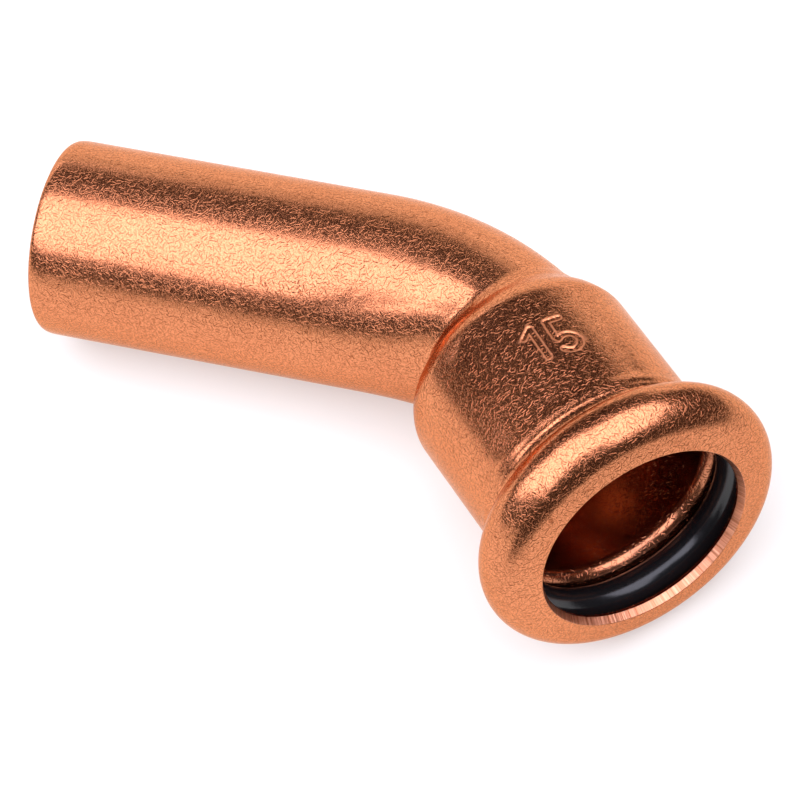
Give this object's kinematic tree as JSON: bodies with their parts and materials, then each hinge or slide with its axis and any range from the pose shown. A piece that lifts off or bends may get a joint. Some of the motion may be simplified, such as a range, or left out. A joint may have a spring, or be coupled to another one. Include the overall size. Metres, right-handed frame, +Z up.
{
  "type": "pipe bend",
  "caption": "Copper press bend of 45 degrees with a plain spigot at one end and a press socket with a rolled bead and a rubber sealing ring at the other, for 15 mm pipe",
  "frame": {"origin": "centre of the spigot's open end, on the spigot's axis", "axes": "+X runs from the spigot's open end along its axis to the bend, +Z is up as the fitting lies on its spigot and bead, and the socket turns away towards -Y and rises a little"},
  "size_m": [0.0579, 0.0324, 0.0231],
  "materials": {
    "copper": "bright drawn copper, faintly grained by pickling",
    "ring_rubber": "moulded black rubber with a soft shine"
  },
  "bodies": {
    "root": {"bend_body": "copper", "sealing_ring": "ring_rubber"}
  },
  "joints": []
}
